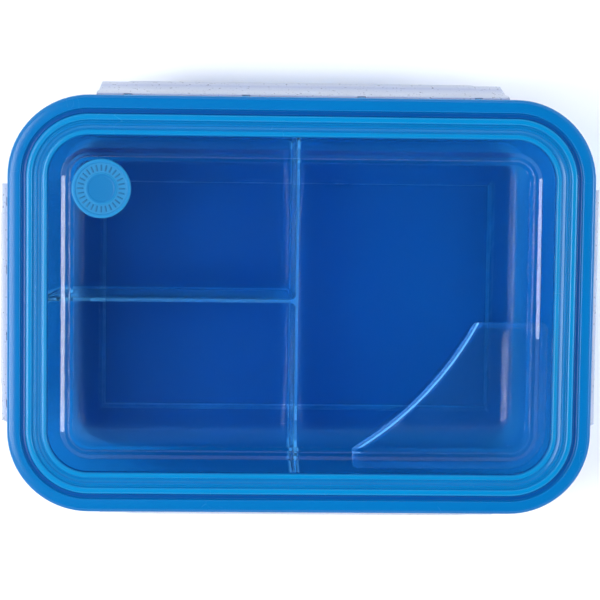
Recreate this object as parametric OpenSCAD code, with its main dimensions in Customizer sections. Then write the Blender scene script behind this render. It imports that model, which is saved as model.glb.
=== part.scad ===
// Bento lunch box: a divided tub with a framed clear lid that is held by four hinged latches.
// Millimetres. The origin is the middle of the base, X runs along the long side, Z is up.

/* [Lid frame] */
// Length of the lid frame along X
frame_w = 223.5; // [221:0.5:240]
// Depth of the lid frame along Y
frame_d = 159; // [157:0.5:170]
// Corner radius of the lid frame's outside
corner_r = 31; // [30:0.5:32]
// Width of the lid frame, from its outside to the window
frame_band = 15.3; // [15:0.1:15.6]
// Height of the lid frame's outer band above the base
lid_top = 58.5; // [58.5:0.5:60]

/* [Tub] */
// Height of the tub's sealing edge
tub_h = 54; // [53.5:0.1:54]
// Thickness of the tub's walls
wall = 1.8; // [1.5:0.1:2]
// Thickness of the tub's floor
floor_t = 2.2; // [1.8:0.1:3]
// Radius of the curve between floor and walls, inside
bowl_r = 10.5; // [8:0.5:11]
// Height of the dividers' top edge
divider_top = 46; // [38:0.5:48]
// Thickness of a divider at its top edge
divider_t = 1.3; // [1:0.1:2]
// Place of the long divider along X
divider_x = -1.4; // [-20:0.1:0]
// Place of the short divider along Y
divider_y = 1; // [-15:0.1:15]

/* [Window] */
// Thickness of the clear window
window_t = 1.6; // [1.2:0.1:1.8]
// Height by which the middle of the window is raised
window_rise = 0.9; // [0.6:0.1:1.2]

/* [Vent plug] */
// Place of the vent plug along X
plug_x = -76.4; // [-78:0.1:-60]
// Place of the vent plug along Y
plug_y = 44.1; // [30:0.1:45]
// Diameter of the plug's head
plug_d = 22.7; // [18:0.1:24]
// Diameter of the vent hole in the window
vent_d = 8.4; // [6:0.1:10]

/* [Latches] */
// Length of the latches on the long sides
long_latch = 157; // [120:1:157]
// Length of the latches on the short sides
short_latch = 91; // [70:1:91]
// Diameter of the hinge pins
pin_d = 1.5; // [1.2:0.1:1.6]
// Radius of the hinge knuckles
knuckle_r = 1.5; // [1.4:0.05:1.6]
// Thickness of the latch plate
latch_t = 1.4; // [1.2:0.1:1.5]

/* [Corner cup] */
// Height of the cup's rim above the base
cup_top = 45; // [36:0.5:46]
// Thickness of the cup's walls
cup_t = 1.5; // [1.2:0.1:2]
// Radius of the cup's curved inner side, at the rim
cup_curve_r = 130; // [125:1:140]

/* [Hidden] */
$fn = 64;
gap = 0.1;               // between faces that rest on each other
free_gap = 0.3;          // between parts that pass each other
eps = 0.01;

// every outline shares these four corner centres
cx = frame_w / 2 - corner_r;
cy = frame_d / 2 - corner_r;
ring_in = corner_r - frame_band;          // radius of the frame's inner edge

// tub section, as radii from the corner centres
rim_in = 18.6;
rim_chamfer = 0.6;
draft = 8;                                // lean of the walls, in degrees
bowl_c = rim_in - bowl_r * cos(draft) - (tub_h - floor_t - bowl_r * (1 - sin(draft))) * tan(draft);
flange_top = 49;
flange_t = 2;
flange_out = corner_r - 0.5;
flange_lip_z = 43.5;
foot_rise = 0.6;                          // depth of the recess under the floor
foot_inset = 4;
divider_spread = 0.9;                     // half of what a divider gains in width down to the floor
divider_blend = 1.6;

// lid levels
ring_bottom = flange_top + gap;
plate_top = lid_top - 3.5;                // top of the window's edge, under the frame
seal_in = 18;
seal_out = 21;
channel_top = lid_top - 2;
skirt_t = 1.6;
roof = 1.8;
window_out = 17.6;
roll_out = 10.9;                          // low slope round the window's step
roll_in = 9.3;
roll_rise = 0.45;
step_out = 8.4;
step_in = 7;
step_under = 6.1;                         // the step's inner edge on the underside

// the frame's section, as radii from the corner centres and heights above or below lid_top
edge_r = 1.2;
groove_out = 25.3;
groove_in = 23.8;
groove_depth = 1;
ridge_h = 0.75;
ridge_in = 22.1;
inner_band = 19.5;                        // outer edge of the slope beside the window
inner_drop = 1.6;
channel_rib_t = 1.5;
channel_rib_z = ring_bottom + 2.4;

// hinges, which sit in pockets under the frame's outer band
hinge_out = -0.9;                         // pin axis, outside the frame's side
hinge_z = lid_top - 5.7;
pocket_top = lid_top - 3.2;
pin_fit = 0.05;                           // running clearance in the latch
lug_fit = 0.02;
lug_r = 1.25;
lug_t = 2.7;
lug_shares = [-0.85, -0.28, 0.28, 0.85];  // places of the lugs, as shares of half a latch
pin_inset = 1.2;

// latches
latch_foot = 29;
knee_z = 43;
finger_out = 0.3;                         // how far the finger lip stands out from the flare
finger_inset = 12;
finger_r = 0.7;
end_slant = 2;                            // lean of the latches' ends, in degrees
bead_h = 0.7;
bead_top = flange_lip_z - free_gap;
bead_out = flange_out + gap - corner_r;   // the snap bead's inner end
// distances outside the frame of the plate's face at the flange, the knee and the foot
long_flare = [1.2, 2.2, 5.3];
short_flare = [2.6, 3.3, 4.6];

// vent plug, as heights above its seat on the window
plug_stem = 5.2;
plug_stem_taper = 1.2;
plug_head_t = 2;
plug_recess = 0.3;
plug_edge_r = 0.9;
plug_disc_r = 5.9;                        // raised middle
plug_ribs = 28;

// corner cup, as plan places
cup_left = 20.8;
cup_back = -6.6;
cup_curve_x = -46.9;
cup_curve_y = 54.8;
cup_rim_r = 15.3;
cup_wall_r = 14.2;
cup_foot_r = 0.6;
cup_lean = 5;
cup_bowl = 10.3;
cup_rim_h = 1.8;
cup_lip = 1;

function arc(x, y, r, a0, a1, n = 8) =
    [for (i = [0:n]) [x + r * cos(a0 + (a1 - a0) * i / n), y + r * sin(a0 + (a1 - a0) * i / n)]];

// sweeps a section round the four corner centres; its X is the distance from them
module sweep_ring(points) {
    for (sx = [0, 1], sy = [0, 1])
        mirror([sx, 0, 0]) mirror([0, sy, 0])
            translate([cx, cy, 0]) rotate_extrude(angle = 90) polygon(points);
    for (sy = [0, 1])
        mirror([0, sy, 0]) translate([-cx, cy, 0]) rotate([90, 0, 90]) linear_extrude(2 * cx) polygon(points);
    for (sx = [0, 1])
        mirror([sx, 0, 0]) translate([cx, cy, 0]) rotate([90, 0, 0]) linear_extrude(2 * cy) polygon(points);
}

// the same with its middle filled between two heights
module sweep_solid(points, z0, z1) {
    sweep_ring(points);
    translate([-cx, -cy, z0]) cube([2 * cx, 2 * cy, z1 - z0]);
}

// ---------- tub ----------
function wall_r(z) = rim_in - (tub_h - z) * tan(draft);

function bowl(grow, z) = arc(bowl_c, z, bowl_r + grow, -90, -draft);

module tub_shell() {
    inner_z = floor_t + bowl_r;
    sweep_solid(concat(
        [[0, 0]],
        bowl(wall, wall + bowl_r),
        [[wall_r(flange_top - flange_t) + wall, flange_top - flange_t],
         [flange_out - skirt_t, flange_top - flange_t], [flange_out - skirt_t, flange_lip_z],
         [flange_out, flange_lip_z], [flange_out, flange_top],
         [wall_r(flange_top) + wall, flange_top], [rim_in + wall - 0.2, tub_h - rim_chamfer],
         [rim_in + wall - rim_chamfer, tub_h], [rim_in + 0.3, tub_h], [rim_in, tub_h - 0.4]],
        arc(bowl_c, inner_z, bowl_r, -draft, -90),
        [[0, floor_t]]), 0, floor_t);
}

// the inside of the tub, a little into its walls
module tub_inside(grow) {
    sweep_solid(concat(
        [[0, floor_t - grow]],
        bowl(grow, floor_t + bowl_r),
        [[wall_r(divider_top) + grow, divider_top], [0, divider_top]]), floor_t - grow, divider_top);
}

module divider_section() {
    foot = divider_t / 2 + divider_spread + divider_blend;
    right = concat([[foot, floor_t - 1], [foot, floor_t]],
        arc(foot, floor_t + divider_blend, divider_blend, -90, -180, 5),
        [[divider_t / 2, divider_top - 0.3], [divider_t / 2 - 0.3, divider_top]]);
    polygon(concat(right, [for (i = [len(right) - 1:-1:0]) [-right[i][0], right[i][1]]]));
}

module container() {
    color([0.05, 0.3, 0.65, 0.6])
        difference() {
            union() {
                tub_shell();
                intersection() {
                    tub_inside(wall / 2);
                    union() {
                        translate([divider_x, frame_d / 2, 0]) rotate([90, 0, 0])
                            linear_extrude(frame_d) divider_section();
                        translate([-frame_w / 2, divider_y, 0]) rotate([90, 0, 90])
                            linear_extrude(frame_w / 2 + divider_x) divider_section();
                    }
                }
            }
            cube([2 * (cx - foot_inset), 2 * (cy - foot_inset), 2 * foot_rise], center = true);
        }
}

// ---------- lid ----------
// the frame's section, from the foot of its skirt over the top to the window's seat
function frame_section() = concat(
    [[corner_r, ring_bottom]],
    arc(corner_r - edge_r, lid_top - edge_r, edge_r, 0, 90, 4),
    [[groove_out + 0.1, lid_top + 0.15], [groove_out - 0.1, lid_top - groove_depth]],
    [[groove_in + 0.1, lid_top - groove_depth], [groove_in - 0.1, lid_top + 0.3]],
    [[groove_in - 0.4, lid_top + 0.65], [(groove_in + ridge_in) / 2, lid_top + ridge_h]],
    [[ridge_in + 0.3, lid_top + 0.6], [ridge_in, lid_top + 0.2], [ridge_in - 0.3, lid_top - 0.2]],
    [[inner_band + 0.1, lid_top - 0.2], [inner_band - 0.1, lid_top - 0.6]],
    [[inner_band - 2, lid_top - inner_drop], [ring_in + 0.4, lid_top - inner_drop]],
    [[ring_in, lid_top - inner_drop - 0.4], [ring_in, plate_top]],
    [[seal_in - gap, plate_top], [seal_in - gap, channel_top], [seal_out + gap, channel_top]],
    [[seal_out + gap, channel_rib_z], [seal_out + channel_rib_t, channel_rib_z]],
    [[seal_out + channel_rib_t, lid_top - roof - groove_depth + 0.1]],
    [[groove_out + 0.9, lid_top - roof - groove_depth + 0.1], [groove_out + 1.1, lid_top - roof]],
    [[corner_r - skirt_t, lid_top - roof], [corner_r - skirt_t, ring_bottom]]);

function lug_places(length) = [for (share = lug_shares) share * length / 2 - lug_t / 2];

// one lug, which hangs from the frame's top; s is its place along the side
module lug(s) {
    translate([s, 0, 0]) rotate([90, 0, 90])
        linear_extrude(lug_t) {
            translate([hinge_out, hinge_z]) circle(lug_r);
            translate([hinge_out - lug_r, hinge_z]) square([lug_r + 0.3, lid_top - 1 - hinge_z]);
        }
}

module lugs(length) {
    difference() {
        for (s = lug_places(length)) lug(s);
        pin_rod(length, pin_d / 2 + lug_fit);
    }
}

// the room for a latch's hinge in the frame's skirt
module pocket(length) {
    depth = knuckle_r - hinge_out + free_gap;
    translate([-length / 2 - free_gap, -depth, ring_bottom - 1])
        cube([length + 2 * free_gap, depth + 1, pocket_top - ring_bottom + 1]);
}

module pin_rod(length, r)
    translate([-length / 2, hinge_out, hinge_z]) rotate([0, 90, 0]) cylinder(h = length, r = r);

// places something made for the back side, outside the frame at y = 0, on another side
module on_back() translate([0, frame_d / 2, 0]) children();
module on_front() rotate([0, 0, 180]) translate([0, frame_d / 2, 0]) children();
module on_left() rotate([0, 0, 90]) translate([0, frame_w / 2, 0]) children();
module on_right() rotate([0, 0, -90]) translate([0, frame_w / 2, 0]) children();

module lid_ring() {
    color([0.05, 0.5, 0.78]) {
        difference() {
            sweep_ring(frame_section());
            on_back() pocket(long_latch);
            on_front() pocket(long_latch);
            on_left() pocket(short_latch);
            on_right() pocket(short_latch);
        }
        on_back() lugs(long_latch);
        on_front() lugs(long_latch);
        on_left() lugs(short_latch);
        on_right() lugs(short_latch);
    }
}

module lid_window() {
    top = plate_top + window_rise;
    under = plate_top - window_t;
    color([0.85, 0.9, 1, 0.35])
        difference() {
            sweep_solid([
                [0, top - window_t], [step_under, top - window_t], [step_under + 1.4, under],
                [window_out, under], [window_out, plate_top], [roll_out, plate_top],
                [roll_in, plate_top + roll_rise], [step_out, plate_top + roll_rise],
                [step_in, top], [0, top]], top - window_t, top);
            translate([plug_x, plug_y, under])
                cylinder(h = window_rise + 2 * window_t, d = vent_d);
        }
}

module lid_seal() {
    base = tub_h + gap;
    color([0.75, 0.85, 0.95])
        sweep_ring([[seal_in, base + 0.5], [seal_in + 0.5, base], [seal_out - 0.5, base],
            [seal_out, base + 0.5], [seal_out, channel_top - gap], [seal_in, channel_top - gap]]);
}

module vent_plug() {
    seat = plate_top + window_rise + gap;
    head_r = plug_d / 2;
    stem_r = vent_d / 2 - gap;
    top = seat + plug_head_t;
    ring_top = top - plug_recess;
    color([0.2, 0.6, 0.85])
        translate([plug_x, plug_y, 0]) {
            rotate_extrude($fn = 96) polygon(concat(
                [[0, seat - plug_stem], [stem_r - 0.8, seat - plug_stem]],
                [[stem_r, seat - plug_stem + plug_stem_taper], [stem_r, seat], [head_r - 0.5, seat]],
                arc(head_r - plug_edge_r, top - plug_edge_r, plug_edge_r, -50, 90, 6),
                [[head_r - 1.6, top], [head_r - 1.9, ring_top], [plug_disc_r, ring_top]],
                [[plug_disc_r - plug_recess, top], [0, top]]));
            for (i = [0:plug_ribs - 1])
                rotate([0, 0, i * 360 / plug_ribs]) translate([plug_disc_r + 0.7, -0.3, ring_top - 0.2])
                    cube([2, 0.6, 0.5]);
        }
}

// ---------- latches ----------
// the plate's section: its X is the distance outside the frame
module latch_section(flare) {
    face = hinge_out + knuckle_r;
    at_bead = flare[1] - latch_t;
    translate([hinge_out, hinge_z]) circle(knuckle_r);
    polygon([
        [face, hinge_z], [flare[0], flange_top], [flare[1], knee_z], [flare[2], latch_foot + 1],
        [flare[2], latch_foot], [flare[2] - latch_t, latch_foot], [at_bead, knee_z - 2.4],
        [bead_out, bead_top - bead_h], [bead_out, bead_top], [at_bead, bead_top + 0.5],
        [flare[0] - latch_t, flange_top], [face - latch_t, hinge_z]]);
}

// the rounded lip along the middle of the plate's lower edge
module finger_lip_section(flare) {
    polygon(concat(
        [[flare[2] - latch_t, latch_foot]],
        arc(flare[2] + finger_out - finger_r, latch_foot + finger_r, finger_r, -90, 90, 6),
        [[flare[2] - 0.9, latch_foot + 2.6]]));
}

module latch(length, flare) {
    half = length / 2;
    cut_r = knuckle_r + free_gap;
    lip = length - 2 * finger_inset;
    color([0.82, 0.86, 0.94, 0.8])
        difference() {
            union() {
                translate([-half, 0, 0]) rotate([90, 0, 90]) linear_extrude(length) latch_section(flare);
                translate([-lip / 2, 0, 0]) rotate([90, 0, 90]) linear_extrude(lip) finger_lip_section(flare);
            }
            pin_rod(length + 2, pin_d / 2 + pin_fit);
            // room for the lugs over the whole swing
            for (s = lug_places(length))
                translate([s - free_gap, hinge_out, hinge_z]) rotate([0, 90, 0])
                    cylinder(h = lug_t + 2 * free_gap, r = cut_r);
            // slanted ends
            for (m = [0, 1])
                mirror([m, 0, 0]) translate([half, -4, hinge_z + knuckle_r]) rotate([0, end_slant, 0])
                    translate([0, 0, -30]) cube([20, 14, 31]);
        }
}

module latch_back() on_back() latch(long_latch, long_flare);
module latch_front() on_front() latch(long_latch, long_flare);
module latch_left() on_left() latch(short_latch, short_flare);
module latch_right() on_right() latch(short_latch, short_flare);

module hinge_pin(length) color("silver") pin_rod(length - 2 * pin_inset, pin_d / 2);

module hinge_pin_back() on_back() hinge_pin(long_latch);
module hinge_pin_front() on_front() hinge_pin(long_latch);
module hinge_pin_left() on_left() hinge_pin(short_latch);
module hinge_pin_right() on_right() hinge_pin(short_latch);

// ---------- corner cup ----------
// a block with the cup's outline, moved in by g, between two heights
module cup_block(g, z0, z1, foot_r, top_r, lean) {
    rise = z1 - z0;
    slant = rise * tan(lean);
    intersection() {
        sweep_solid(foot_r > 0
            ? concat([[0, z0]], arc(foot_r, z0 + cup_bowl - g, cup_bowl - g, -90, -4),
                [[top_r - g, z1], [0, z1]])
            : [[0, z0], [top_r - g, z0], [top_r - g, z1], [0, z1]], z0, z1);
        difference() {
            translate([cup_left + g, -frame_d / 2, z0])
                cube([frame_w, frame_d / 2 + cup_back - g, rise]);
            translate([cup_curve_x, cup_curve_y, z0 - eps])
                cylinder(h = rise + 2 * eps, r1 = cup_curve_r + g + slant, r2 = cup_curve_r + g, $fn = 180);
        }
    }
}

module corner_cup() {
    foot_z = floor_t + gap;
    color([0.05, 0.35, 0.7, 0.6])
        difference() {
            union() {
                cup_block(cup_lip, foot_z, cup_top, cup_foot_r, cup_wall_r + cup_lip, cup_lean);
                cup_block(0, cup_top - cup_rim_h, cup_top, 0, cup_rim_r, 0);
            }
            cup_block(cup_lip + cup_t, foot_z + cup_t, cup_top + eps, cup_foot_r, cup_wall_r + cup_lip, cup_lean);
        }
}

container();
lid_ring();
lid_window();
lid_seal();
vent_plug();
latch_back();
latch_front();
latch_left();
latch_right();
hinge_pin_back();
hinge_pin_front();
hinge_pin_left();
hinge_pin_right();
corner_cup();
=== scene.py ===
"""A bento lunch box: a divided blue tub, a framed clear lid with four latches, a plug and a corner cup."""

import math

import bmesh
import bpy
from mathutils import Matrix, Vector


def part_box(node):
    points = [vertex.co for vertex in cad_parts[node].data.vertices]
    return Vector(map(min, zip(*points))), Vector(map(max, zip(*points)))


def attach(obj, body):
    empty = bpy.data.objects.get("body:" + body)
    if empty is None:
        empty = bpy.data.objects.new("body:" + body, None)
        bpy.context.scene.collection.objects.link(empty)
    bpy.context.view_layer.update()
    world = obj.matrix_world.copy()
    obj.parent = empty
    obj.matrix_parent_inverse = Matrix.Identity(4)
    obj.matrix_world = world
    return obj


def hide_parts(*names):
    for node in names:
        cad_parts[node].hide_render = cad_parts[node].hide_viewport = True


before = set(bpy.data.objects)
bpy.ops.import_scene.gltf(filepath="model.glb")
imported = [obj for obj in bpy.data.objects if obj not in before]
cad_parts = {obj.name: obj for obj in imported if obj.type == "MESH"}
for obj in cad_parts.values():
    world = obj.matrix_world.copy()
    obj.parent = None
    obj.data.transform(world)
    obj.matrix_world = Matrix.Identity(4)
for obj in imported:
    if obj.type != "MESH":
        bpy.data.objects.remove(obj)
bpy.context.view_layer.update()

# ---------------------------------------------------------------- sizes, in millimetres

MM = 0.001
TUB_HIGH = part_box("container")[1]
WINDOW_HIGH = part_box("lid_window")[1]
SEAL_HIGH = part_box("lid_seal")[1]
PLUG_LOW, PLUG_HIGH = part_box("vent_plug")
CUP_LOW, CUP_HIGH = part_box("corner_cup")
PIN_BACK_LOW, PIN_BACK_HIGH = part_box("hinge_pin_back")
PIN_R = 0.75

# radii are measured from the four corner centres, which every outline shares
FLANGE_R = 30.5
FRAME_R = 31.0
INNER_R = 15.7
CX = TUB_HIGH.x / MM - FLANGE_R
CY = TUB_HIGH.y / MM - FLANGE_R
CORNER_STEPS = 20
SHARP = 38                              # degrees from which an edge stays sharp

TUB_H = TUB_HIGH.z / MM
WALL = 1.8
FLOOR = 2.2
RIM_R = 18.6
BOWL_R = 10.5
LEAN = math.radians(8)                  # the walls' slope from upright
DRAFT = math.tan(LEAN)
FLANGE_TOP = 49.0
FLANGE_T = 2.0
LIP_Z = 43.5
LIP_T = 1.6
FOOT_RISE = 0.6                         # recess under the floor
FOOT_INSET = 4.0
FOOT_SLOPE = 0.4
MIDDLE_R = -24.0                        # where a floor's outline ends and a flat cap closes it

DIVIDER_TOP = 46.0
DIVIDER_T = 1.3
DIVIDER_SPREAD = 0.9                    # how much more each side stands out at the foot
DIVIDER_EDGE = 0.3
DIVIDER_X = -1.4
DIVIDER_Y = 1.0
FLOOR_BLEND = 1.6
WALL_BLEND = 2.0

SEAT = SEAL_HIGH.z / MM + 0.1           # roof of the seal's channel
LID_TOP = SEAT + 2.0
PLATE_TOP = LID_TOP - 3.5
FRAME_FOOT = FLANGE_TOP + 0.1
BAND_IN = 26.1                          # radii of the steps on the frame's top, from the outside in
GROOVE_OUT = 25.6
GROOVE_IN = 24.2
RIDGE_OUT = 23.7
RIDGE_IN = 21.7
TROUGH_OUT = 21.1
TROUGH_IN = 20.6
BEAD_OUT = 20.3
BEAD_IN = 19.8
SLOPE_OUT = 19.3
SLOPE_IN = 18.1
LEDGE_OUT = 17.6
LEDGE_IN = 16.4
CHANNEL_R = 22.5                        # the seal's channel
SEAL_OUT = 21.1
SEAL_IN = 17.9
WEB_R = 26.2                            # where the thicker web under the groove ends
WINDOW_T = 1.6
WINDOW_R = 17.6
PANEL_TOP = WINDOW_HIGH.z / MM
ROLL_OUT = 10.9                         # low slope round the window's step
ROLL_IN = 9.2
ROLL_RISE = 0.62
STEP_OUT = 8.0
STEP_IN = 7.5
STEP_UNDER = 6.1                        # the same step on the underside, and how wide it is there
STEP_WIDTH = 1.4
WINDOW_FIT = 0.02                       # room under the frame
WINDOW_MIDDLE = -20.0                   # where its outline ends and a flat cap closes it
PLUG_HOLE_R = 4.2

HEAD_R = (PLUG_HIGH.x - PLUG_LOW.x) / 2 / MM
PLUG_TOP = PLUG_HIGH.z / MM
PLUG_SHARP = 50
STEM_R = 4.1
RING_IN = 6.1                           # sunk ring round the plug's raised middle
RING_DROP = 0.35
RIB_COUNT = 28
RIB_IN = 6.7
RIB_OUT = 9.0
RIB_T = 0.56

HINGE_OUT = PIN_BACK_HIGH.y / MM - PIN_R - CY - FRAME_R
HINGE_Z = (PIN_BACK_LOW.z + PIN_BACK_HIGH.z) / 2 / MM
KNUCKLE_R = 1.5
POCKET_TOP = HINGE_Z + 2.5
LUG_R = 1.25
LUG_T = 2.7
LUG_EDGE = 0.15
LUG_FIT = 0.02                          # room round the pin in a lug, and in a latch
LATCH_FIT = 0.05
LUG_SHARES = (-0.85, -0.28, 0.28, 0.85)  # places along half the latch
LATCH_T = 1.4
LATCH_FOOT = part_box("latch_back")[0].z / MM
KNEE_Z = 43.0
SNAP_TIP = -0.4                         # how far outside the frame the snap bead's tip is
SNAP_H = 0.7
FINGER = 0.3                            # how far the finger lip stands out, and where it stops
FINGER_INSET = 12.0
END_INSET = 0.8                         # how much shorter a latch's foot is at each end
END_EDGE = 0.35
FREE = 0.3                              # room between a latch and the frame's lugs and pocket
# distances outside the frame of a latch's face at the flange, the knee and the foot
LONG_FLARE = (1.2, 2.2, 5.3)
SHORT_FLARE = (2.6, 3.3, 4.6)
FLARES = {"back": LONG_FLARE, "front": LONG_FLARE, "left": SHORT_FLARE, "right": SHORT_FLARE}

CUP_TOP = CUP_HIGH.z / MM
CUP_FOOT = CUP_LOW.z / MM
CUP_LEFT = CUP_LOW.x / MM
CUP_BACK = CUP_HIGH.y / MM
CUP_RIM_R = CUP_HIGH.x / MM - CX
CUP_CENTRE = Vector((-46.9, 54.8))
CUP_CURVE_R = 130.0
CUP_T = 1.5
CUP_LIP = 1.0
CUP_RIM_H = 1.8
CUP_BOWL = 10.3
CUP_EDGE = 0.35
CUP_END_R = 2.2                         # corners of the outline at the walls and at the bowed side
CUP_SIDE_R = 1.6
CUP_FOOT_R = 0.6
CUP_END = 3.4                           # least depth of the cup's left end
CUP_LEAN = math.tan(math.radians(5))


# ---------------------------------------------------------------- mesh tools

def round_off(points, closed=False, steps=4):
    """A line of (x, z, radius) corners with each corner rounded to its radius."""
    line = []
    count = len(points)
    for i, (x, z, radius) in enumerate(points):
        if radius <= 0 or (not closed and i in (0, count - 1)):
            line.append((x, z))
            continue
        here = Vector((x, z))
        back = (Vector(points[i - 1][:2]) - here).normalized()
        ahead = (Vector(points[(i + 1) % count][:2]) - here).normalized()
        half = back.angle(ahead) / 2
        centre = here + (back + ahead).normalized() * (radius / math.sin(half))
        start = here + back * (radius / math.tan(half)) - centre
        turn = start.angle_signed(here + ahead * (radius / math.tan(half)) - centre)
        number = steps if radius < 4 else 3 * steps
        for k in range(number + 1):
            a = -turn * k / number
            cos_a, sin_a = math.cos(a), math.sin(a)
            line.append((centre.x + start.x * cos_a - start.y * sin_a,
                         centre.y + start.x * sin_a + start.y * cos_a))
    return line


def outline(r, z):
    """A rounded rectangle at distance r from the corner centres. Below 0 its corners are square."""
    loop = []
    for quarter in range(4):
        sx = 1 if quarter in (0, 3) else -1
        sy = 1 if quarter in (0, 1) else -1
        for k in range(CORNER_STEPS + 1):
            a = math.radians(90 * (quarter + k / CORNER_STEPS))
            if r >= 0:
                loop.append((sx * CX + r * math.cos(a), sy * CY + r * math.sin(a), z))
            else:
                loop.append((sx * (CX + r), sy * (CY + r), z))
    return loop


def finish_mesh(name, bm, sharp=SHARP):
    """A new object from bm, which is in millimetres, with its edges smooth up to an angle."""
    bmesh.ops.remove_doubles(bm, verts=bm.verts, dist=1e-5)
    bmesh.ops.recalc_face_normals(bm, faces=bm.faces)
    bmesh.ops.scale(bm, vec=(MM, MM, MM), verts=bm.verts)
    mesh = bpy.data.meshes.new(name)
    bm.to_mesh(mesh)
    bm.free()
    obj = bpy.data.objects.new(name, mesh)
    bpy.context.scene.collection.objects.link(obj)
    smooth(obj, sharp)
    return obj


def smooth(obj, sharp=SHARP):
    """Smooth shading, with the edges from the angle sharp upwards kept sharp."""
    for face in obj.data.polygons:
        face.use_smooth = True
    obj.data.set_sharp_from_angle(angle=math.radians(sharp))


def loft(loops, capped=True, ring=False):
    """A bmesh through equal loops of points. ring joins the last loop to the first."""
    bm = bmesh.new()
    rows = [[bm.verts.new(p) for p in loop] for loop in loops]
    pairs = list(zip(rows, rows[1:]))
    if ring:
        pairs.append((rows[-1], rows[0]))
    for a, b in pairs:
        count = len(a)
        for k in range(count):
            j = (k + 1) % count
            bm.faces.new((a[k], a[j], b[j], b[k]))
    if capped:
        bm.faces.new(rows[0])
        bm.faces.new(rows[-1])
    return bm


def sweep(line, closed):
    """A bmesh of a section line carried round the corner centres. An open line is capped at both ends."""
    loops = [outline(r, z) for r, z in line]
    return loft(loops, capped=not closed, ring=closed)


def lathe(line, x, y, segments=96):
    """A bmesh of a line of (radius, z) turned about a vertical axis."""
    loops = []
    for r, z in line:
        loop = []
        for k in range(segments):
            a = 2 * math.pi * k / segments
            loop.append((x + r * math.cos(a), y + r * math.sin(a), z))
        loops.append(loop)
    return loft(loops)


def block(bm, low, high):
    """Adds a box between two corners to bm."""
    centre = (Vector(low) + Vector(high)) / 2
    size = Vector(high) - Vector(low)
    place = Matrix.Translation(centre) @ Matrix.Diagonal((*size, 1))
    bmesh.ops.create_cube(bm, size=1, matrix=place)


def rod(bm, start, end, radius, segments=32):
    """Adds a cylinder between two points to bm."""
    start, end = Vector(start), Vector(end)
    turn = (end - start).to_track_quat("Z", "X").to_matrix().to_4x4()
    place = Matrix.Translation((start + end) / 2) @ turn
    bmesh.ops.create_cone(bm, cap_ends=True, segments=segments, radius1=radius, radius2=radius,
                          depth=(end - start).length, matrix=place)


def apply_modifiers(obj):
    """Puts the modifiers' result in the object's mesh."""
    depsgraph = bpy.context.evaluated_depsgraph_get()
    mesh = bpy.data.meshes.new_from_object(obj.evaluated_get(depsgraph))
    obj.modifiers.clear()
    obj.data = mesh


def combine(obj, other, operation):
    """Joins other to obj, or cuts it away, and removes it."""
    modifier = obj.modifiers.new("combine", "BOOLEAN")
    modifier.operation = operation
    modifier.object = other
    modifier.solver = "EXACT"
    apply_modifiers(obj)
    bpy.data.objects.remove(other)


def soften(obj, width):
    """Rounds the edges that are still sharp."""
    modifier = obj.modifiers.new("soften", "BEVEL")
    modifier.width = width * MM
    modifier.segments = 2
    modifier.limit_method = "ANGLE"
    modifier.angle_limit = math.radians(SHARP)
    modifier.use_clamp_overlap = True
    apply_modifiers(obj)
    smooth(obj)


def ease(t):
    """0 to 1, smooth at both ends."""
    t = min(1.0, max(0.0, t))
    return t * t * (3 - 2 * t)


def blend_width(distance, radius):
    """How far a fillet of that radius stands out, at a distance from the surface that it meets."""
    near = min(radius, max(0.0, radius - distance))
    return radius - math.sqrt(radius * radius - near * near)


# ---------------------------------------------------------------- tub

def wall_r(z):
    """Radius of the tub's inner wall at a height."""
    return RIM_R - (TUB_H - z) * DRAFT


BOWL_CENTRE_Z = FLOOR + BOWL_R
BOWL_CENTRE_R = wall_r(FLOOR) - BOWL_R * math.tan((math.pi / 2 - LEAN) / 2)


def inside_r(z, grow=0.0):
    """Radius of the tub's inner surface at a height, moved out by grow."""
    drop = BOWL_CENTRE_Z - z
    reach = BOWL_R + grow
    if drop > reach * math.sin(LEAN):
        return BOWL_CENTRE_R + math.sqrt(max(0.0, reach * reach - drop * drop))
    return wall_r(z) + grow


def tub_line():
    """The tub's section from the middle of its floor up, over the rim and down to its foot."""
    return round_off([
        (MIDDLE_R, FLOOR, 0),
        (wall_r(FLOOR), FLOOR, BOWL_R),
        (RIM_R, TUB_H, 0.45),
        (RIM_R + WALL, TUB_H, 0.6),
        (wall_r(FLANGE_TOP) + WALL, FLANGE_TOP, 0.8),
        (FLANGE_R, FLANGE_TOP, 0.5),
        (FLANGE_R, LIP_Z, 0.4),
        (FLANGE_R - LIP_T, LIP_Z, 0.4),
        (FLANGE_R - LIP_T, FLANGE_TOP - FLANGE_T, 0.8),
        (wall_r(FLANGE_TOP) + WALL, FLANGE_TOP - FLANGE_T, 1.2),
        (wall_r(0) + WALL * 1.15, 0, BOWL_R + WALL),
        (-FOOT_INSET + FOOT_SLOPE, 0, 0.2),
        (-FOOT_INSET - FOOT_SLOPE, FOOT_RISE, 0.2),
        (MIDDLE_R, FOOT_RISE, 0),
    ])


def divider_side(z):
    """Half the divider's thickness at a height, with the fillet at its foot."""
    spread = DIVIDER_SPREAD * (DIVIDER_TOP - z) / (DIVIDER_TOP - FLOOR)
    return DIVIDER_T / 2 + spread + blend_width(z - FLOOR, FLOOR_BLEND)


def divider_levels():
    """Heights up a divider, close together where the foot's fillet is."""
    foot = [FLOOR - 1, FLOOR]
    foot += [FLOOR + FLOOR_BLEND * (1 - math.cos(math.radians(a))) for a in (30, 50, 70, 90)]
    return foot + [8, 14, 20, 28, 36, DIVIDER_TOP - DIVIDER_EDGE]


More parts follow.
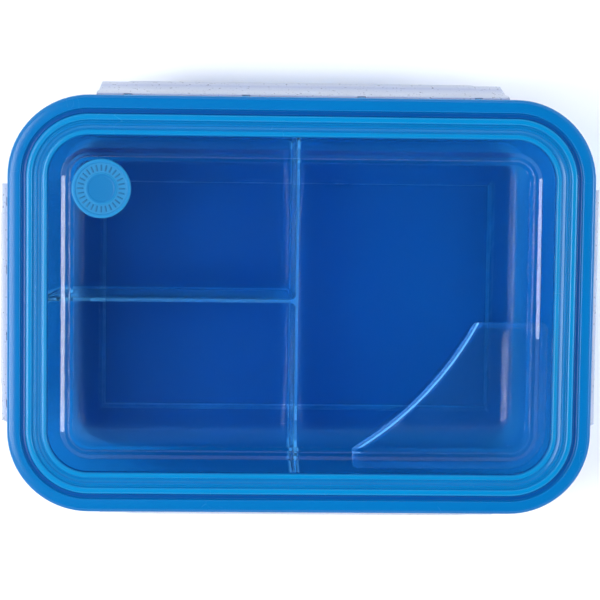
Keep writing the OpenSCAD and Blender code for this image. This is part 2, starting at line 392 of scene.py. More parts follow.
def divider_section(along, end_low, end_high, place):
    """A divider's closed section at a share of its length; place turns (along, across, z) to a point."""
    right = []
    for z in divider_levels():
        low, high = end_low(z), end_high(z)
        s = low[0] + (high[0] - low[0]) * along
        blend = blend_width(s - low[1], WALL_BLEND) + blend_width(high[1] - s, WALL_BLEND)
        right.append((s, divider_side(z) + blend, z))
    s, side, z = right[-1]
    for a in (30, 60, 90):
        a = math.radians(a)
        right.append((s, side - DIVIDER_EDGE * (1 - math.cos(a)), z + DIVIDER_EDGE * math.sin(a)))
    left = [(s, -side, z) for s, side, z in reversed(right)]
    return [place(*p) for p in right + left]


def stations(length):
    """Shares of a length, close together near both ends."""
    near = [0.0] + [(0.9 + WALL_BLEND * k / 5) / length for k in range(6)]
    return near + [0.2, 0.35, 0.5, 0.65, 0.8] + [1 - s for s in reversed(near)]


def wall_end(centre, sign):
    """A divider's end in a wall: (where it stops, where the wall's surface is) at each height."""
    def end(z):
        return (sign * (centre + inside_r(z, WALL / 2)), sign * (centre + inside_r(z)))
    return end


def add_long_divider(tub):
    """The divider from the front wall to the back one."""
    def place(s, side, z):
        return (DIVIDER_X + side, s, z)
    low, high = wall_end(CY, -1), wall_end(CY, 1)
    loops = [divider_section(t, low, high, place) for t in stations(2 * (CY + RIM_R))]
    other = finish_mesh("long_divider", loft(loops))
    combine(tub, other, "UNION")


def add_short_divider(tub):
    """The divider from the left wall to the long divider."""
    def place(s, side, z):
        return (s, DIVIDER_Y + side, z)

    def high(z):
        return (DIVIDER_X, DIVIDER_X - divider_side(z))
    low = wall_end(CX, -1)
    loops = [divider_section(t, low, high, place) for t in stations(CX + RIM_R)]
    other = finish_mesh("short_divider", loft(loops))
    combine(tub, other, "UNION")


def make_tub(material):
    tub = finish_mesh("tub", sweep(tub_line(), closed=False))
    add_long_divider(tub)
    add_short_divider(tub)
    smooth(tub)
    tub.data.materials.append(material)
    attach(tub, "container")
    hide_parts("container")


# ---------------------------------------------------------------- lid frame

def frame_top():
    """The frame's upper side from the skirt inwards: band, groove, ridge, bead, slope and ledge."""
    top = LID_TOP
    groove = top - 1.1
    ridge = top + 0.5
    trough = top - 0.5
    bead = top - 0.1
    return [
        (FRAME_R, FRAME_FOOT, 0.4), (FRAME_R, top, 1.5), (BAND_IN, top + 0.1, 0.4),
        (GROOVE_OUT, groove, 0.4), (GROOVE_IN, groove, 0.4),
        (RIDGE_OUT, ridge, 0.9), (RIDGE_IN, ridge, 0.8),
        (TROUGH_OUT, trough, 0.2), (TROUGH_IN, trough, 0.2),
        (BEAD_OUT, bead, 0.15), (BEAD_IN, bead, 0.2),
        (SLOPE_OUT, top - 0.7, 0.3), (SLOPE_IN, top - 1.2, 0.3),
        (LEDGE_OUT, top - 0.6, 0.45), (LEDGE_IN, top - 0.5, 0.5), (INNER_R, top - 1.4, 0.4),
    ]


def frame_under():
    """The frame's lower side from the window outwards, with the seal's channel and the skirt's inside."""
    under = LID_TOP - 1.8
    web = under - 0.9
    channel_foot = FRAME_FOOT + 2.4
    return [
        (INNER_R, PLATE_TOP, 0), (SEAL_IN, PLATE_TOP, 0), (SEAL_IN, SEAT, 0), (SEAL_OUT, SEAT, 0),
        (SEAL_OUT, channel_foot, 0.3), (CHANNEL_R, channel_foot, 0.3), (CHANNEL_R, web, 0.3),
        (WEB_R, web, 0.3), (WEB_R + 0.2, under, 0.2),
        (FRAME_R - LIP_T, under, 0.6), (FRAME_R - LIP_T, FRAME_FOOT, 0.4),
    ]


SIDES = {
    "back": Matrix.Translation((0, CY + FRAME_R, 0)),
    "front": Matrix.Rotation(math.pi, 4, "Z") @ Matrix.Translation((0, CY + FRAME_R, 0)),
    "left": Matrix.Rotation(math.pi / 2, 4, "Z") @ Matrix.Translation((0, CX + FRAME_R, 0)),
    "right": Matrix.Rotation(-math.pi / 2, 4, "Z") @ Matrix.Translation((0, CX + FRAME_R, 0)),
}


def latch_length(side):
    """Length of a side's latch, from its CAD node."""
    low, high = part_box("latch_" + side)
    return max(high.x - low.x, high.y - low.y) / MM


def lug_places(length):
    """Where each lug starts along a latch."""
    return [share * length / 2 - LUG_T / 2 for share in LUG_SHARES]


def lug_section():
    """A lug's outline, from the frame's top down round the pin, as (distance outside the frame, z)."""
    top = LID_TOP - 1
    points = [(HINGE_OUT + 0.3, top), (HINGE_OUT - LUG_R, top)]
    steps = 16
    for k in range(steps + 1):
        a = math.radians(180 + 256 * k / steps)
        points.append((HINGE_OUT + LUG_R * math.cos(a), HINGE_Z + LUG_R * math.sin(a)))
    return points


def merge_into(bm, part):
    """Adds the mesh part to bm."""
    mesh = bpy.data.meshes.new("part")
    part.to_mesh(mesh)
    part.free()
    bm.from_mesh(mesh)
    bpy.data.meshes.remove(mesh)


def make_lugs(side):
    """The four lugs of a side, with the hole for its pin."""
    length = latch_length(side)
    bm = bmesh.new()
    for s in lug_places(length):
        loops = [[(x, p, z) for p, z in lug_section()] for x in (s, s + LUG_T)]
        merge_into(bm, loft(loops))
    bm.transform(SIDES[side])
    lugs = finish_mesh("lugs_" + side, bm)
    combine(lugs, pin_hole(side, PIN_R + LUG_FIT), "DIFFERENCE")
    soften(lugs, LUG_EDGE)
    return lugs


def pin_hole(side, radius):
    """A rod on a side's hinge axis, to cut holes with."""
    bm = bmesh.new()
    reach = latch_length(side) / 2 + 2
    rod(bm, (-reach, HINGE_OUT, HINGE_Z), (reach, HINGE_OUT, HINGE_Z), radius)
    bm.transform(SIDES[side])
    return finish_mesh("hole", bm)


def pocket(side):
    """The room for a latch's hinge in the frame's skirt."""
    bm = bmesh.new()
    reach = latch_length(side) / 2 + FREE
    depth = KNUCKLE_R - HINGE_OUT + FREE
    block(bm, (-reach, -depth, FRAME_FOOT - 1), (reach, 1, POCKET_TOP))
    bm.transform(SIDES[side])
    return finish_mesh("pocket", bm)


def make_frame(material):
    line = round_off(frame_top() + frame_under(), closed=True, steps=3)
    ring = finish_mesh("lid_frame", sweep(line, closed=True))
    for side in SIDES:
        combine(ring, pocket(side), "DIFFERENCE")
        combine(ring, make_lugs(side), "UNION")
    smooth(ring)
    ring.data.materials.append(material)
    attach(ring, "lid")
    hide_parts("lid_ring")


# ---------------------------------------------------------------- window

def window_line():
    """The window's section, out along the underside and back over the slope and the step."""
    under = PLATE_TOP - WINDOW_T
    top = PLATE_TOP - WINDOW_FIT
    shelf = top + ROLL_RISE
    return round_off([
        (WINDOW_MIDDLE, PANEL_TOP - WINDOW_T, 0), (STEP_UNDER, PANEL_TOP - WINDOW_T, 0.4),
        (STEP_UNDER + STEP_WIDTH, under, 0.4), (WINDOW_R, under, 0.3), (WINDOW_R, top, 0.3),
        (ROLL_OUT, top, 1.0), (ROLL_IN, shelf, 1.0), (STEP_OUT, shelf, 0.4),
        (STEP_IN, PANEL_TOP, 0.4), (WINDOW_MIDDLE, PANEL_TOP, 0),
    ], steps=5)


def make_window(material):
    window = finish_mesh("window_pane", sweep(window_line(), closed=False))
    hole = bmesh.new()
    x, y = plug_place()
    rod(hole, (x, y, PLATE_TOP - 3), (x, y, PANEL_TOP + 2), PLUG_HOLE_R, 64)
    combine(window, finish_mesh("hole", hole), "DIFFERENCE")
    smooth(window)
    window.data.materials.append(material)
    window.visible_shadow = False
    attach(window, "lid")
    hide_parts("lid_window")


# ---------------------------------------------------------------- vent plug

def plug_place():
    """The plug's axis, from its CAD node."""
    centre = (PLUG_LOW + PLUG_HIGH) / 2 / MM
    return centre.x, centre.y


def plug_line():
    """The plug's section from its stem's foot up round the head: rim, sunk ring, raised band and dip."""
    seat = PANEL_TOP + 0.1
    foot = PLUG_LOW.z / MM
    ring = PLUG_TOP - RING_DROP
    dip = PLUG_TOP - 0.12
    return round_off([
        (0.5, foot, 0), (3.4, foot, 0.5), (STEM_R, foot + 1.3, 0.3), (STEM_R, seat, 0.3),
        (HEAD_R - 0.9, seat, 0.3), (HEAD_R, seat + 0.7, 0.5), (HEAD_R - 0.25, PLUG_TOP, 0.5),
        (HEAD_R - 1.4, PLUG_TOP, 0.3), (HEAD_R - 1.7, ring, 0.15), (RING_IN, ring, 0.15),
        (5.8, PLUG_TOP, 0.25), (5.0, PLUG_TOP, 0.2), (4.7, dip, 0.2), (0.5, dip, 0),
    ])


def make_ribs():
    """The radial ribs in the plug's sunk ring."""
    x, y = plug_place()
    bm = bmesh.new()
    for k in range(RIB_COUNT):
        part = bmesh.new()
        block(part, (RIB_IN, -RIB_T / 2, PLUG_TOP - 0.7), (RIB_OUT, RIB_T / 2, PLUG_TOP - 0.05))
        turn = Matrix.Rotation(2 * math.pi * k / RIB_COUNT, 4, "Z")
        part.transform(Matrix.Translation((x, y, 0)) @ turn)
        merge_into(bm, part)
    ribs = finish_mesh("ribs", bm)
    soften(ribs, 0.12)
    return ribs


def make_plug(material):
    plug = finish_mesh("vent_plug_soft", lathe(plug_line(), *plug_place()), PLUG_SHARP)
    combine(plug, make_ribs(), "UNION")
    smooth(plug, PLUG_SHARP)
    plug.data.materials.append(material)
    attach(plug, "vent_plug")
    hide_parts("vent_plug")


# ---------------------------------------------------------------- latches

def latch_section(flare, finger):
    """A latch's outline as (distance outside the frame, z). finger is how far its foot stands out more."""
    at_flange, at_knee, at_foot = flare
    at_foot += finger
    bead_top = LIP_Z - FREE
    inner = at_knee - LATCH_T
    knuckle = []
    steps = 20
    for k in range(steps + 1):
        a = math.radians(-10 + 265 * k / steps)
        knuckle.append((HINGE_OUT + KNUCKLE_R * math.cos(a), HINGE_Z + KNUCKLE_R * math.sin(a), 0))
    return round_off(knuckle + [
        (at_flange - LATCH_T, FLANGE_TOP, 0.5), (inner, bead_top + 0.5, 0.3),
        (SNAP_TIP, bead_top, 0.2), (SNAP_TIP, bead_top - SNAP_H, 0.2),
        (inner, KNEE_Z - 2.4, 0.8), (at_foot - LATCH_T, LATCH_FOOT, 0.3),
        (at_foot, LATCH_FOOT, 0.5), (at_foot, LATCH_FOOT + 1, 0.4), (at_knee, KNEE_Z, 3.5),
        (at_flange, FLANGE_TOP, 3.5),
    ], closed=True, steps=3)


def latch_stations(length):
    """Places along a latch, close together at its ends and at the ends of its finger lip."""
    half = length / 2
    lip = half - FINGER_INSET
    ends = [half, half - 0.12, half - 0.35, half - 1, lip + 2, lip + 1.4, lip + 0.7, lip, lip * 0.5]
    return [-s for s in ends] + [0.0] + ends[::-1]


def latch_loop(side, s):
    """A latch's section at a place s along it, thinner at its ends and shorter towards its foot."""
    half = latch_length(side) / 2
    flare = FLARES[side]
    middle = flare[1] - LATCH_T / 2
    finger = FINGER * ease((half - FINGER_INSET + 2 - abs(s)) / 2)
    edge = 0.3 * (1 - math.sqrt(1 - max(0.0, 1 - (half - abs(s)) / END_EDGE) ** 2))
    loop = []
    for p, z in latch_section(flare, finger):
        shrink = 1 - END_INSET * (HINGE_Z + KNUCKLE_R - z) / (HINGE_Z - LATCH_FOOT) / half
        loop.append((s * shrink, p + (edge if p < middle else -edge), z))
    return loop


def notches(side):
    """The room for the frame's lugs in a latch's hinge."""
    bm = bmesh.new()
    for s in lug_places(latch_length(side)):
        start = (s - FREE, HINGE_OUT, HINGE_Z)
        end = (s + LUG_T + FREE, HINGE_OUT, HINGE_Z)
        rod(bm, start, end, KNUCKLE_R + FREE)
    bm.transform(SIDES[side])
    return finish_mesh("notches", bm)


def make_latch(side, material):
    bm = loft([latch_loop(side, s) for s in latch_stations(latch_length(side))])
    bm.transform(SIDES[side])
    latch = finish_mesh("latch_wing_" + side, bm)
    combine(latch, notches(side), "DIFFERENCE")
    combine(latch, pin_hole(side, PIN_R + LATCH_FIT), "DIFFERENCE")
    smooth(latch)
    latch.data.materials.append(material)
    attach(latch, "latch_" + side)
    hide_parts("latch_" + side)


# ---------------------------------------------------------------- corner cup

def corner(here, before, after, radius, steps=5):
    """The rounded corner at here, between the directions to before and after."""
    points = [(*before, 0), (*here, radius), (*after, 0)]
    return round_off(points, steps=steps)[1:-1]


def cup_outline(z, inset, wall):
    """The cup's outline at a height.

    inset moves in its ends and its bowed side. wall is its radius at the tub's walls.
    """
    curve = CUP_CURVE_R + inset
    front = -CY - wall
    right = CX + wall
    back = CUP_BACK - inset
    # the left end is cut off where the curved side comes down to the front
    meet = CUP_CENTRE.x + math.sqrt(curve ** 2 - (CUP_CENTRE.y - front - CUP_END) ** 2)
    left = max(CUP_LEFT + inset, meet)
    near_left = CUP_CENTRE.y - math.sqrt(curve ** 2 - (left - CUP_CENTRE.x) ** 2)
    near_back = CUP_CENTRE.x + math.sqrt(curve ** 2 - (back - CUP_CENTRE.y) ** 2)
    a0 = math.atan2(back - CUP_CENTRE.y, near_back - CUP_CENTRE.x)
    a1 = math.atan2(near_left - CUP_CENTRE.y, left - CUP_CENTRE.x)
    side = [a0 + (a1 - a0) * k / 24 for k in range(25)]
    bowed = [(CUP_CENTRE.x + curve * math.cos(a), CUP_CENTRE.y + curve * math.sin(a)) for a in side]
    points = corner((left, front), (left, near_left), (right, front), CUP_END_R)
    for k in range(CORNER_STEPS + 1):
        a = math.radians(-90 + 90 * k / CORNER_STEPS)
        points.append((CX + wall * math.cos(a), -CY + wall * math.sin(a)))
    points += corner((right, back), (right, front), (near_back, back), CUP_END_R)
    points += corner(bowed[0], (right, back), bowed[2], CUP_SIDE_R)
    points += bowed[2:-2]
    points += corner(bowed[-1], bowed[-3], (left, front), CUP_SIDE_R)
    return [(x, y, z) for x, y in points]


def cup_side(height, grow):
    """(inset, wall radius) of the cup's outside at a height above its foot, moved in by grow."""
    tall = CUP_TOP - CUP_FOOT
    bowl = CUP_BOWL - grow
    rise = height - grow
    spread = CUP_RIM_R - CUP_LIP - CUP_FOOT_R - CUP_BOWL
    wall = CUP_FOOT_R + bowl + spread * (height - CUP_BOWL) / (tall - CUP_BOWL)
    if rise < bowl:
        wall = CUP_FOOT_R + math.sqrt(max(0.0, bowl ** 2 - (bowl - rise) ** 2))
    lean = (tall - height) * CUP_LEAN
    return CUP_LIP + grow + lean + blend_width(rise, 3.0), wall


def cup_levels(grow):
    """Heights above the foot, close together along the curved bottom."""
    low = [grow + (CUP_BOWL - grow) * (1 - math.cos(math.radians(a))) for a in range(0, 91, 10)]
    return low + [18, 26, 34]


def cup_surface(heights, grow):
    """Loops up the cup's outside, or up its inside where grow is the wall's thickness."""
    return [cup_outline(CUP_FOOT + height, *cup_side(height, grow)) for height in heights]


def cup_rim():
    """Loops round the rim's edges: its outer lower one, its outer upper one and its inner one."""
    under = CUP_TOP - CUP_RIM_H
    inset, wall = cup_side(CUP_TOP - CUP_FOOT, CUP_T)
    turns = [math.radians(a) for a in (0, 30, 60, 90)]
    loops = []
    for a in turns:
        grow = CUP_EDGE * (1 - math.sin(a))
        loops.append(cup_outline(under + CUP_EDGE * (1 - math.cos(a)), grow, CUP_RIM_R - grow))
    for a in turns:
        grow = CUP_EDGE * (1 - math.cos(a))
        loops.append(cup_outline(CUP_TOP - CUP_EDGE * (1 - math.sin(a)), grow, CUP_RIM_R - grow))
    for a in turns:
        grow = CUP_EDGE * (1 - math.sin(a))
        loops.append(cup_outline(CUP_TOP - CUP_EDGE * (1 - math.cos(a)), inset - grow, wall + grow))
    return loops


def make_cup(material):
    under = CUP_TOP - CUP_RIM_H - CUP_FOOT
    outside = cup_surface(cup_levels(0) + [under], 0)
    inside = cup_surface(reversed(cup_levels(CUP_T)), CUP_T)
    cup = finish_mesh("dip_cup", loft(outside + cup_rim() + inside))
    cup.data.materials.append(material)
    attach(cup, "corner_cup")
    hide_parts("corner_cup")


# ---------------------------------------------------------------- materials

def fill_ramp(ramp, stops):
    """Gives a colour ramp its stops, each a place from 0 to 1 and a colour."""
    while len(ramp.elements) < len(stops):
        ramp.elements.new(0.5)
    for element, (place, colour) in zip(ramp.elements, stops):
        element.position = place
        element.color = (*colour, 1)


class Shader:
    """A material with one Principled shader, and short ways to add nodes to it."""

    def __init__(self, name, **values):
        self.material = bpy.data.materials.new(name)
        self.material.use_nodes = True
        self.tree = self.material.node_tree
        self.tree.nodes.clear()
        self.main = self.add("ShaderNodeBsdfPrincipled")
        output = self.add("ShaderNodeOutputMaterial")
        self.link(self.main.outputs["BSDF"], output.inputs["Surface"])
        for key, value in values.items():
            self.main.inputs[key.replace("_", " ")].default_value = value
        self.place = self.add("ShaderNodeTexCoord").outputs["Object"]

    def add(self, kind, **settings):
        node = self.tree.nodes.new(kind)
        for key, value in settings.items():
            setattr(node, key, value)
        return node

    def link(self, a, b):
        self.tree.links.new(a, b)

    def noise(self, scale, detail=3.0):
        """Noise from 0 to 1, with scale cells to the metre."""
        node = self.add("ShaderNodeTexNoise")
        node.inputs["Scale"].default_value = scale
        node.inputs["Detail"].default_value = detail
        self.link(self.place, node.inputs["Vector"])
        return node.outputs["Fac"]

    def scratches(self, scale, width):
        """1 along a few hairlines and 0 between them."""
        warp = self.add("ShaderNodeTexNoise")
        warp.inputs["Scale"].default_value = scale * 0.6
        self.link(self.place, warp.inputs["Vector"])
        mix = self.add("ShaderNodeMix", data_type="VECTOR")
        mix.inputs["Factor"].default_value = 0.04
        self.link(self.place, mix.inputs["A"])
        self.link(warp.outputs["Color"], mix.inputs["B"])
        cells = self.add("ShaderNodeTexVoronoi", feature="DISTANCE_TO_EDGE")
        cells.inputs["Scale"].default_value = scale
        self.link(mix.outputs["Result"], cells.inputs["Vector"])
        lines = self.span(cells.outputs["Distance"], 0.0, width, 1.0, 0.0)
        patches = self.span(self.noise(scale * 0.7), 0.56, 0.66, 0.0, 1.0)
        return self.math("MULTIPLY", lines, patches)

    def span(self, value, low, high, to_low, to_high):
        """value from low to high made to run from to_low to to_high, and held there outside."""
        node = self.add("ShaderNodeMapRange")
        limits = {"From Min": low, "From Max": high, "To Min": to_low, "To Max": to_high}
        for key, number in limits.items():
            node.inputs[key].default_value = number
        self.link(value, node.inputs["Value"])
        return node.outputs["Result"]

    def math(self, operation, a, b=0):
        """One operation on one or two values, each a number or another node's output."""
        node = self.add("ShaderNodeMath", operation=operation)
        for socket, value in zip(node.inputs, (a, b)):
            if isinstance(value, (int, float)):
                socket.default_value = value
            else:
                self.link(value, socket)
        return node.outputs["Value"]

    def axes(self):
        """The place's X, Y and Z in millimetres."""
        split = self.add("ShaderNodeSeparateXYZ")
        self.link(self.place, split.inputs[0])
        return [self.math("DIVIDE", split.outputs[axis], MM) for axis in "XYZ"]

    def height(self):
        """Height above the base in millimetres."""
        return self.axes()[2]

    def length(self, a, b):
        """The length of a step of a along one axis and b along the other."""
        squares = self.math("ADD", self.math("MULTIPLY", a, a), self.math("MULTIPLY", b, b))
        return self.math("SQRT", squares)

    def distance(self, x, y):
        """Distance in millimetres from an upright axis."""
        here = self.axes()
        return self.length(self.math("SUBTRACT", here[0], x), self.math("SUBTRACT", here[1], y))

    def radius(self):
        """Distance in millimetres from the corner centres, which every outline shares."""
        out = []
        for value, centre in zip(self.axes(), (CX, CY)):
            past = self.math("SUBTRACT", self.math("ABSOLUTE", value), centre)
            out.append(self.math("MAXIMUM", past, 0))
        return self.length(*out)

    def near(self, value, centre, reach):
        """1 where value is within reach of centre, and 0 a little further out."""
        away = self.math("ABSOLUTE", self.math("SUBTRACT", value, centre))
        return self.span(away, reach, reach + 0.3, 1, 0)

    def blend(self, share, colour, other):
        """colour where share is 0, and the fixed colour other where it is 1."""
        node = self.add("ShaderNodeMix", data_type="RGBA")
        self.link(share, node.inputs["Factor"])
        for socket in node.inputs:
            if socket.type == "RGBA" and socket.name == "A":
                self.link(colour, socket)
            if socket.type == "RGBA" and socket.name == "B":
                socket.default_value = (*other, 1)
        for socket in node.outputs:
            if socket.type == "RGBA":
                return socket

    def ramp(self, value, stops):
        """A colour that follows value through stops, each a place from 0 to 1 and a colour."""
        node = self.add("ShaderNodeValToRGB")
        fill_ramp(node.color_ramp, stops)
        self.link(value, node.inputs["Fac"])
        return node.outputs["Color"]

    def tint(self, colour, value, low, high):
        """colour made darker or lighter by a factor that follows value."""
        node = self.add("ShaderNodeVectorMath", operation="SCALE")
        self.link(colour, node.inputs[0])
        self.link(self.span(value, 0, 1, low, high), node.inputs["Scale"])
        return node.outputs["Vector"]

    def paint(self, colour):
        self.link(colour, self.main.inputs["Base Color"])

    def rough(self, value, low, high):
        """Roughness from low to high as value goes from 0 to 1."""
        self.link(self.span(value, 0, 1, low, high), self.main.inputs["Roughness"])

    def bump(self, value, depth):
        """Bump of a depth in millimetres."""
        node = self.add("ShaderNodeBump")
        node.inputs["Strength"].default_value = 1.0
        node.inputs["Distance"].default_value = depth * MM
        self.link(value, node.inputs["Height"])
        self.link(node.outputs["Normal"], self.main.inputs["Normal"])


def polish(shader, low):
    """A moulded polish with soft unevenness and a few hairlines. low is its least roughness."""
    marks = shader.scratches(55, 0.012)
    shader.rough(shader.math("ADD", shader.noise(140, 2), marks), low, 0.14)
    shader.bump(shader.math("ADD", shader.noise(60), shader.math("MULTIPLY", marks, 0.5)), 0.01)


def divider_share(s):
    """1 on the dividers above the floor and 0 elsewhere, for the shader s: where the painted glow goes."""
    reach = 1.6
    x, y, z = s.axes()
    above = s.span(z, FLOOR + 0.4, FLOOR + 1.2, 0, 1)
    left = s.span(x, DIVIDER_X - 0.5, DIVIDER_X + 0.5, 1, 0)
    long_wall = s.near(x, DIVIDER_X, reach)
    short_wall = s.math("MULTIPLY", s.near(y, DIVIDER_Y, reach), left)
    return s.math("MULTIPLY", s.math("MAXIMUM", long_wall, short_wall), above)


def tub_plastic():
    """Clear blue plastic, a little more violet to the left, with painted shade as a deeper blue on the
    walls and a painted glow as paler dividers.
    """
    s = Shader("clear blue plastic", IOR=1.13, Transmission_Weight=0.95, Specular_IOR_Level=0.12)
    left = (0.042, 0.22, 0.53)
    right = (0.024, 0.245, 0.57)
    # painted shade: the walls a deeper blue than the floor, from just above the floor's fillet up
    walls = (0.006, 0.185, 0.54)
    # painted glow: the dividers a paler blue than the rest of the same plastic
    dividers = (0.15, 0.62, 1.0)
    x, _, z = s.axes()
    side = s.math("ADD", s.span(x, -60, 40, 0, 1), s.span(s.noise(18), 0, 1, -0.12, 0.12))
    blue = s.ramp(side, [(0, left), (1, right)])
    blue = s.blend(s.span(z, FLOOR + 2, FLOOR + 7, 0, 1), blue, walls)
    s.paint(s.blend(divider_share(s), blue, dividers))
    polish(s, 0.03)
    return s.material


def frame_plastic():
    """Blue plastic with painted light and shade: painted highlights on the ledge, the ridge and the outer
    edge, painted shade in the groove and at the inner edge.
    """
    s = Shader("satin blue plastic", IOR=1.49, Specular_IOR_Level=0.3, Subsurface_Weight=0.3,
               Subsurface_Radius=(0.2, 0.7, 1.0), Subsurface_Scale=0.002)
    # painted highlight on the ledge, the ridge and the outer edge
    bright = (0.0005, 0.18, 0.41)
    plain = (0.0003, 0.125, 0.345)
    # painted shade in the groove and at the inner edge
    deep = (0.0005, 0.07, 0.265)
    # painted highlights on the slope and the bead, a little paler than plain
    lit_slope = (0.0005, 0.14, 0.36)
    lit_bead = (0.0005, 0.15, 0.37)
    places = [
        (INNER_R, deep), (INNER_R + 0.5, bright), (LEDGE_OUT, bright), (SLOPE_IN + 0.1, plain),
        (SLOPE_OUT - 0.1, lit_slope), (BEAD_IN, plain), (TROUGH_IN, lit_bead), (TROUGH_OUT + 0.2, plain),
        (RIDGE_IN + 0.1, bright), (RIDGE_OUT, bright), (GROOVE_IN - 0.2, deep), (GROOVE_OUT - 0.2, deep),
        (BAND_IN - 0.1, plain), (FRAME_R - 0.6, plain), (FRAME_R, bright),
    ]
    stops = [((r - INNER_R) / (FRAME_R - INNER_R), colour) for r, colour in places]
    across = s.span(s.radius(), INNER_R, FRAME_R, 0, 1)
    s.paint(s.tint(s.ramp(across, stops), s.noise(30), 0.94, 1.06))
    s.rough(s.math("ADD", s.noise(600, 2), s.scratches(70, 0.01)), 0.16, 0.28)
    s.bump(s.noise(2200, 2), 0.005)
    return s.material


def clear_plastic():
    """Clear plastic, so thin that it hardly bends what is seen through it."""
    s = Shader("clear plastic", IOR=1.3, Transmission_Weight=1.0, Specular_IOR_Level=0.9)
    dull = (0.965, 0.97, 0.99)
    clear = (0.985, 0.99, 1.0)
    s.paint(s.ramp(s.noise(12, 2), [(0, dull), (1, clear)]))
    marks = s.scratches(38, 0.01)
    haze = s.span(s.noise(25, 4), 0.45, 0.75, 0, 0.3)
    s.rough(s.math("ADD", haze, marks), 0.008, 0.05)
    s.bump(marks, 0.006)
    return s.material


def plug_silicone():
    """Silicone that is paler towards its rim, with darker ribs."""
    s = Shader("light blue silicone", IOR=1.41, Specular_IOR_Level=0.3, Subsurface_Weight=0.3,
               Subsurface_Radius=(0.3, 0.8, 1.0), Subsurface_Scale=0.002)
    out = s.distance(*plug_place())
    middle = (0.0002, 0.13, 0.32)
    ring = (0.016, 0.185, 0.39)
    ring_edge = (0.005, 0.16, 0.37)
    rim = (0.012, 0.2, 0.41)
    places = [(0, middle), (5.4, middle), (5.9, rim), (RING_IN + 0.1, ring), (9.6, ring),
              (10.2, ring_edge), (11.0, rim)]
    colour = s.ramp(s.span(out, 0, HEAD_R, 0, 1), [(r / HEAD_R, c) for r, c in places])
    raised = s.span(s.height(), PLUG_TOP - 0.33, PLUG_TOP - 0.1, 0, 1)
    past_middle = s.span(out, RIB_IN - 0.5, RIB_IN - 0.1, 0, 1)
    before_rim = s.span(out, RIB_OUT + 0.1, RIB_OUT + 0.5, 1, 0)
    on_ribs = s.math("MULTIPLY", raised, s.math("MULTIPLY", past_middle, before_rim))
    s.paint(s.tint(colour, on_ribs, 1.0, 0.62))
    s.rough(s.noise(500), 0.36, 0.5)
    s.bump(s.noise(1500), 0.012)
    return s.material


def latch_plastic():
    """Frosted plastic with painted light and shade in bands at heights along the latch: darker, bluer
    shaded bands between paler lit ones.
    """
    s = Shader("frosted plastic", IOR=1.49, Transmission_Weight=0.4, Subsurface_Weight=0.3,
               Subsurface_Radius=(0.8, 0.9, 1.0), Subsurface_Scale=0.003)
    low, high = LATCH_FOOT, HINGE_Z + KNUCKLE_R
    # painted shade at the foot edge, in a band above the finger lip and on the knuckle; painted light on
    # the knee and the wing
    shaded_foot_edge = (0.34, 0.38, 0.48)
    finger_lip = (0.52, 0.57, 0.70)
    above_lip = (0.50, 0.56, 0.72)
    shaded_band = (0.36, 0.43, 0.66)
    above_band = (0.50, 0.57, 0.74)
    knee = (0.58, 0.64, 0.78)
    wing = (0.58, 0.65, 0.80)
    knuckle = (0.30, 0.42, 0.70)
    places = [
        (low, shaded_foot_edge), (low + 1.5, finger_lip), (low + 4.5, above_lip), (low + 7, shaded_band),
        (low + 10, above_band), (KNEE_Z, knee), (FLANGE_TOP, wing), (high - 1, knuckle),
    ]
    stops = [((z - low) / (high - low), colour) for z, colour in places]
    colour = s.ramp(s.span(s.height(), low, high, 0, 1), stops)
    s.paint(s.tint(colour, s.noise(40), 0.86, 0.98))
    s.rough(s.noise(700), 0.22, 0.38)
    s.bump(s.noise(600, 1), 0.003)
    return s.material


def cup_plastic():
    """Nearly clear blue plastic, fuller along the rim of its bowed side, with painted highlight lines
    along that rim.
    """
    s = Shader("clear blue cup plastic", IOR=1.49)
    deep = (0.006, 0.09, 0.34)
    light = (0.01, 0.12, 0.40)
    # painted highlight: the colour of the lines along the bowed rim
    line = (0.13, 0.36, 0.70)
    rim_foot = CUP_TOP - CUP_RIM_H
    rim = s.span(s.height(), rim_foot - 0.5, rim_foot, 0, 1)
    out = s.math("SUBTRACT", s.distance(*CUP_CENTRE), CUP_CURVE_R)
    # painted highlights: two thin lines along the bowed rim, the first one faint
    outer_highlight = s.math("MULTIPLY", s.near(out, 0.1, 0.1), 0.35)
    lines = s.math("MULTIPLY", rim, s.math("MAXIMUM", outer_highlight, s.near(out, 1.3, 0.15)))
    side = s.math("MULTIPLY", rim, s.span(out, 2.8, 3.2, 1, 0))
    s.paint(s.blend(lines, s.ramp(s.noise(18, 2), [(0, deep), (1, light)]), line))
    alpha = s.math("ADD", s.span(side, 0, 1, 0.15, 0.3), s.math("MULTIPLY", lines, 0.35))
    s.link(alpha, s.main.inputs["Alpha"])
    polish(s, 0.04)
    return s.material


def seal_silicone():
    s = Shader("seal silicone", IOR=1.41, Transmission_Weight=0.2, Subsurface_Weight=0.4,
               Subsurface_Scale=0.002)
    dark = (0.55, 0.68, 0.82)
    light = (0.65, 0.76, 0.88)
    s.paint(s.ramp(s.noise(60), [(0, dark), (1, light)]))
    s.rough(s.noise(500), 0.4, 0.6)
    s.bump(s.noise(1200), 0.01)
    return s.material


def pin_steel():
    s = Shader("drawn steel", Metallic=1.0)
    dark = (0.5, 0.5, 0.52)
    light = (0.66, 0.66, 0.68)
    s.paint(s.ramp(s.noise(400), [(0, dark), (1, light)]))
    s.rough(s.noise(900, 4), 0.2, 0.38)
    s.bump(s.noise(2500), 0.004)
    return s.material


def floor_material():
    s = Shader("pale floor")
    dark = (0.93, 0.935, 0.94)
    light = (0.95, 0.95, 0.955)
    s.paint(s.ramp(s.noise(3, 2), [(0, dark), (1, light)]))
    s.rough(s.noise(40), 0.6, 0.8)
    return s.material


# ---------------------------------------------------------------- stage

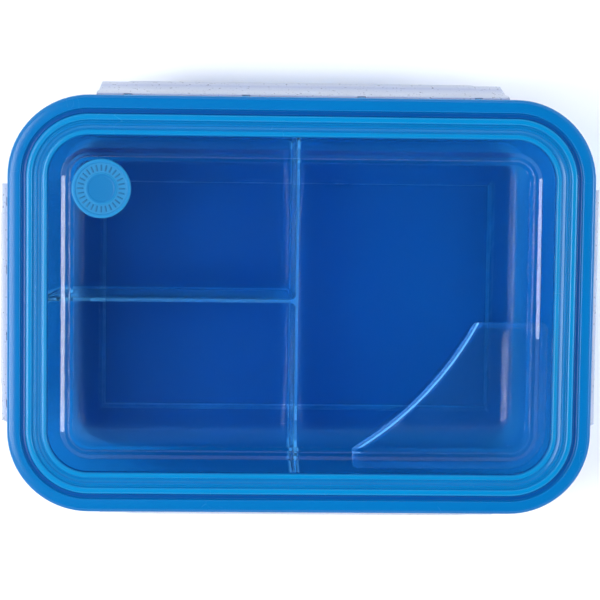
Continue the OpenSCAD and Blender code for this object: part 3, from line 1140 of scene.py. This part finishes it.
FLOOR_SIZE = 3000                       # millimetres from the middle to each side
LIGHT_TINT = (0.93, 0.96, 1.0)
WORLD_LOW = (0.3, 0.31, 0.35)
WORLD_BRIGHT = (1.4, 1.48, 1.62)
WORLD_TOP = (0.03, 0.03, 0.05)
# the sky's colours, each at the sine of its elevation
WORLD_STOPS = [(0.15, WORLD_LOW), (0.5, WORLD_BRIGHT), (0.72, WORLD_BRIGHT), (0.82, WORLD_TOP)]


def make_floor():
    bm = bmesh.new()
    bmesh.ops.create_grid(bm, x_segments=1, y_segments=1, size=FLOOR_SIZE)
    floor = finish_mesh("floor", bm)
    floor.data.materials.append(floor_material())


def area_light(name, place, target, size, power):
    """A light that faces target. size is its width across the view and its height."""
    data = bpy.data.lights.new(name, "AREA")
    data.shape = "RECTANGLE"
    data.size, data.size_y = size
    data.energy = power
    data.color = LIGHT_TINT
    light = bpy.data.objects.new(name, data)
    light.location = place
    light.rotation_euler = (Vector(target) - Vector(place)).to_track_quat("-Z", "Y").to_euler()
    bpy.context.scene.collection.objects.link(light)
    return light


def make_world():
    """Bright at half height, and dark straight overhead, where the flat lid mirrors it."""
    world = bpy.data.worlds.new("studio")
    bpy.context.scene.world = world
    world.use_nodes = True
    tree = world.node_tree
    tree.nodes.clear()
    coord = tree.nodes.new("ShaderNodeTexCoord")
    split = tree.nodes.new("ShaderNodeSeparateXYZ")
    ramp = tree.nodes.new("ShaderNodeValToRGB")
    back = tree.nodes.new("ShaderNodeBackground")
    out = tree.nodes.new("ShaderNodeOutputWorld")
    fill_ramp(ramp.color_ramp, WORLD_STOPS)
    tree.links.new(coord.outputs["Generated"], split.inputs[0])
    tree.links.new(split.outputs["Z"], ramp.inputs["Fac"])
    tree.links.new(ramp.outputs["Color"], back.inputs["Color"])
    tree.links.new(back.outputs["Background"], out.inputs["Surface"])


def make_lights():
    """Two small bright boxes that the window's slopes mirror, and two softer ones nearer overhead."""
    area_light("key left", (-0.756, -0.09, 0.75), (-0.09, 0.0, 0.055), size=(0.28, 0.18), power=4.2)
    area_light("key right", (0.87, -0.02, 0.75), (0.09, 0.0, 0.055), size=(0.20, 0.18), power=2.4)
    area_light("fill left", (-0.43, 0.0, 0.80), (-0.05, 0.0, 0.05), size=(0.50, 0.26), power=3.6)
    right = area_light("fill right", (0.46, 0.05, 0.80), (0.05, 0.0, 0.05), size=(0.50, 0.20), power=2.2)
    right.visible_glossy = False


def make_camera():
    """The camera looks almost straight down, from a little behind and to the left."""
    data = bpy.data.cameras.new("camera")
    data.sensor_width = 36
    data.lens = 131.8
    camera = bpy.data.objects.new("camera", data)
    eye = Vector((-0.0321, 0.0732, 0.8904))
    tilt_x = Matrix.Rotation(0.0846, 3, "X")
    tilt_y = Matrix.Rotation(0.0376, 3, "Y")
    roll = Matrix.Rotation(-0.0097, 3, "Z")
    turn = roll @ tilt_y @ tilt_x
    camera.matrix_world = Matrix.Translation(eye) @ turn.transposed().to_4x4()
    bpy.context.scene.collection.objects.link(camera)
    bpy.context.scene.camera = camera


# ---------------------------------------------------------------- all together

def coat_node(name, material):
    """Gives a CAD node that stays in view its material."""
    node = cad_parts[name]
    node.data.materials.clear()
    node.data.materials.append(material)


make_camera()
make_world()
make_lights()
make_floor()
bpy.context.scene.view_settings.view_transform = "Standard"

make_tub(tub_plastic())
make_frame(frame_plastic())
make_window(clear_plastic())
make_plug(plug_silicone())
frosted = latch_plastic()
for side in SIDES:
    make_latch(side, frosted)
make_cup(cup_plastic())

steel = pin_steel()
for side in SIDES:
    coat_node("hinge_pin_" + side, steel)
coat_node("lid_seal", seal_silicone())
